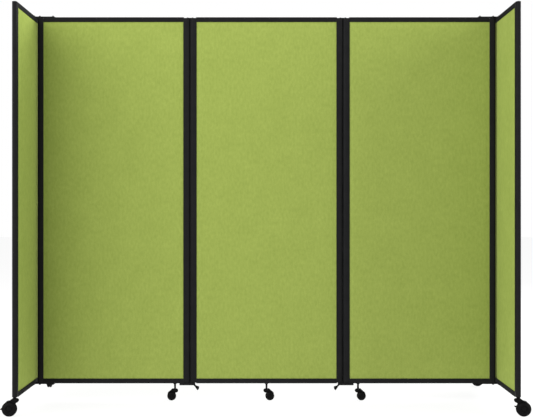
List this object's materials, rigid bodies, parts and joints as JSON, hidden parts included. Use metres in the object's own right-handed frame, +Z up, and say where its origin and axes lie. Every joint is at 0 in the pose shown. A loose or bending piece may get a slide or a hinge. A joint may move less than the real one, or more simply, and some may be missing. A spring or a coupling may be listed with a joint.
{
  "type": "folding room divider",
  "caption": "Free-standing folding fabric room divider on casters, with full-size end panels set square across the row as feet.",
  "frame": {"origin": "on the floor under the middle of the centre panel", "axes": "+X along the row of panels to the viewer's right, +Y away from the viewer, +Z up"},
  "size_m": [2.6644, 0.8637, 2.0923],
  "materials": {
    "frame": "black powder coat, satin",
    "fabric": "brushed polyester felt, leaf green",
    "plastic": "moulded black nylon",
    "tread": "black nylon wheel, satin",
    "zinc": "black zinc plate"
  },
  "bodies": {
    "centre_panel": {"centre_left_upright": "frame", "centre_right_upright": "frame", "centre_top_rail": "frame", "centre_bottom_rail": "frame", "centre_fabric_board": "fabric", "centre_small_caster_stem": "zinc"},
    "left_link": {"left_hinge_top_link": "zinc", "left_hinge_lock_bar": "frame"},
    "left_lever": {"left_hinge_toe_lever": "plastic"},
    "left_panel": {"left_left_upright": "frame", "left_right_upright": "frame", "left_top_rail": "frame", "left_bottom_rail": "frame", "left_fabric_board": "fabric", "left_small_caster_stem": "zinc"},
    "left_end": {"left_end_front_upright": "frame", "left_end_rear_upright": "frame", "left_end_top_rail": "frame", "left_end_bottom_rail": "frame", "left_end_fabric_board": "fabric", "left_end_top_bracket": "zinc", "left_end_bottom_bracket": "zinc", "left_front_caster_stem": "zinc", "left_rear_caster_stem": "zinc"},
    "right_link": {"right_hinge_top_link": "zinc", "right_hinge_lock_bar": "frame"},
    "right_lever": {"right_hinge_toe_lever": "plastic"},
    "right_panel": {"right_left_upright": "frame", "right_right_upright": "frame", "right_top_rail": "frame", "right_bottom_rail": "frame", "right_fabric_board": "fabric", "right_small_caster_stem": "zinc"},
    "right_end": {"right_end_front_upright": "frame", "right_end_rear_upright": "frame", "right_end_top_rail": "frame", "right_end_bottom_rail": "frame", "right_end_fabric_board": "fabric", "right_end_top_bracket": "zinc", "right_end_bottom_bracket": "zinc", "right_front_caster_stem": "zinc", "right_rear_caster_stem": "zinc"},
    "left_small_caster_swivel": {"left_small_caster_housing": "plastic"},
    "left_small_caster_wheel_set": {"left_small_caster_wheels": "tread"},
    "centre_small_caster_swivel": {"centre_small_caster_housing": "plastic"},
    "centre_small_caster_wheel_set": {"centre_small_caster_wheels": "tread"},
    "right_small_caster_swivel": {"right_small_caster_housing": "plastic"},
    "right_small_caster_wheel_set": {"right_small_caster_wheels": "tread"},
    "left_front_caster_swivel": {"left_front_caster_housing": "plastic"},
    "left_front_caster_wheel_set": {"left_front_caster_wheels": "tread"},
    "left_front_caster_brake": {"left_front_caster_brake_pedal": "plastic"},
    "left_rear_caster_swivel": {"left_rear_caster_housing": "plastic"},
    "left_rear_caster_wheel_set": {"left_rear_caster_wheels": "tread"},
    "left_rear_caster_brake": {"left_rear_caster_brake_pedal": "plastic"},
    "right_front_caster_swivel": {"right_front_caster_housing": "plastic"},
    "right_front_caster_wheel_set": {"right_front_caster_wheels": "tread"},
    "right_front_caster_brake": {"right_front_caster_brake_pedal": "plastic"},
    "right_rear_caster_swivel": {"right_rear_caster_housing": "plastic"},
    "right_rear_caster_wheel_set": {"right_rear_caster_wheels": "tread"},
    "right_rear_caster_brake": {"right_rear_caster_brake_pedal": "plastic"}
  },
  "joints": [
    {"name": "left_hinge_inner_fold", "type": "hinge", "parent": "centre_panel", "child": "left_link", "pos_m": [-0.4025, 0, 1], "axis": [0, 0, 1], "range_deg": [-90, 90]},
    {"name": "left_hinge_outer_fold", "type": "hinge", "parent": "left_link", "child": "left_panel", "pos_m": [-0.4295, 0, 1], "axis": [0, 0, -1], "range_deg": [-90, 90]},
    {"name": "left_end_fold", "type": "hinge", "parent": "left_panel", "child": "left_end", "pos_m": [-1.2345, 0, 1], "axis": [0, 0, 1], "range_deg": [-90, 90]},
    {"name": "left_toe_lever_press", "type": "hinge", "parent": "left_link", "child": "left_lever", "pos_m": [-0.3965, 0, 0.0867], "axis": [0, 1, 0], "range_deg": [0, 20], "stiffness_Nm_per_rad": 0.3, "springref_deg": -5.73},
    {"name": "right_hinge_inner_fold", "type": "hinge", "parent": "centre_panel", "child": "right_link", "pos_m": [0.4025, 0, 1], "axis": [0, 0, 1], "range_deg": [-90, 90]},
    {"name": "right_hinge_outer_fold", "type": "hinge", "parent": "right_link", "child": "right_panel", "pos_m": [0.4295, 0, 1], "axis": [0, 0, -1], "range_deg": [-90, 90]},
    {"name": "right_end_fold", "type": "hinge", "parent": "right_panel", "child": "right_end", "pos_m": [1.2345, 0, 1], "axis": [0, 0, 1], "range_deg": [-90, 90]},
    {"name": "right_toe_lever_press", "type": "hinge", "parent": "right_link", "child": "right_lever", "pos_m": [0.3965, 0, 0.0867], "axis": [0, -1, 0], "range_deg": [0, 20], "stiffness_Nm_per_rad": 0.3, "springref_deg": -5.73},
    {"name": "left_small_caster_swivel_turn", "type": "hinge", "parent": "left_panel", "child": "left_small_caster_swivel", "pos_m": [-0.4982, 0, 0.05], "axis": [0, 0, 1], "continuous": true},
    {"name": "left_small_caster_roll", "type": "hinge", "parent": "left_small_caster_swivel", "child": "left_small_caster_wheel_set", "pos_m": [-0.5161, -0.00188, 0.024], "axis": [0.1045, -0.9945, 0], "continuous": true},
    {"name": "centre_small_caster_swivel_turn", "type": "hinge", "parent": "centre_panel", "child": "centre_small_caster_swivel", "pos_m": [0, 0, 0.05], "axis": [0, 0, 1], "continuous": true},
    {"name": "centre_small_caster_roll", "type": "hinge", "parent": "centre_small_caster_swivel", "child": "centre_small_caster_wheel_set", "pos_m": [0.01793, 0.00157, 0.024], "axis": [-0.0872, 0.9962, 0], "continuous": true},
    {"name": "right_small_caster_swivel_turn", "type": "hinge", "parent": "right_panel", "child": "right_small_caster_swivel", "pos_m": [0.4982, 0, 0.05], "axis": [0, 0, 1], "continuous": true},
    {"name": "right_small_caster_roll", "type": "hinge", "parent": "right_small_caster_swivel", "child": "right_small_caster_wheel_set", "pos_m": [0.51618, 0.00094, 0.024], "axis": [-0.0523, 0.9986, 0], "continuous": true},
    {"name": "left_front_caster_swivel_turn", "type": "hinge", "parent": "left_end", "child": "left_front_caster_swivel", "pos_m": [-1.2645, -0.4025, 0.05], "axis": [0, 0, 1], "continuous": true},
    {"name": "left_front_caster_roll", "type": "hinge", "parent": "left_front_caster_swivel", "child": "left_front_caster_wheel_set", "pos_m": [-1.29044, -0.40431, 0.0375], "axis": [0.0698, -0.9976, 0], "continuous": true},
    {"name": "left_front_caster_brake_press", "type": "hinge", "parent": "left_front_caster_swivel", "child": "left_front_caster_brake", "pos_m": [-1.29044, -0.40431, 0.0375], "axis": [0.0698, -0.9976, 0], "range_deg": [0, 14]},
    {"name": "left_rear_caster_swivel_turn", "type": "hinge", "parent": "left_end", "child": "left_rear_caster_swivel", "pos_m": [-1.2645, 0.4025, 0.05], "axis": [0, 0, 1], "continuous": true},
    {"name": "left_rear_caster_roll", "type": "hinge", "parent": "left_rear_caster_swivel", "child": "left_rear_caster_wheel_set", "pos_m": [-1.26631, 0.37656, 0.0375], "axis": [0.9976, -0.0698, 0], "continuous": true},
    {"name": "left_rear_caster_brake_press", "type": "hinge", "parent": "left_rear_caster_swivel", "child": "left_rear_caster_brake", "pos_m": [-1.26631, 0.37656, 0.0375], "axis": [0.9976, -0.0698, 0], "range_deg": [0, 14]},
    {"name": "right_front_caster_swivel_turn", "type": "hinge", "parent": "right_end", "child": "right_front_caster_swivel", "pos_m": [1.2645, -0.4025, 0.05], "axis": [0, 0, 1], "continuous": true},
    {"name": "right_front_caster_roll", "type": "hinge", "parent": "right_front_caster_swivel", "child": "right_front_caster_wheel_set", "pos_m": [1.29046, -0.40386, 0.0375], "axis": [0.0523, 0.9986, 0], "continuous": true},
    {"name": "right_front_caster_brake_press", "type": "hinge", "parent": "right_front_caster_swivel", "child": "right_front_caster_brake", "pos_m": [1.29046, -0.40386, 0.0375], "axis": [-0.0523, -0.9986, 0], "range_deg": [0, 14]},
    {"name": "right_rear_caster_swivel_turn", "type": "hinge", "parent": "right_end", "child": "right_rear_caster_swivel", "pos_m": [1.2645, 0.4025, 0.05], "axis": [0, 0, 1], "continuous": true},
    {"name": "right_rear_caster_roll", "type": "hinge", "parent": "right_rear_caster_swivel", "child": "right_rear_caster_wheel_set", "pos_m": [1.24094, 0.41349, 0.0375], "axis": [-0.4226, -0.9063, 0], "continuous": true},
    {"name": "right_rear_caster_brake_press", "type": "hinge", "parent": "right_rear_caster_swivel", "child": "right_rear_caster_brake", "pos_m": [1.24094, 0.41349, 0.0375], "axis": [-0.4226, -0.9063, 0], "range_deg": [0, 14]}
  ]
}
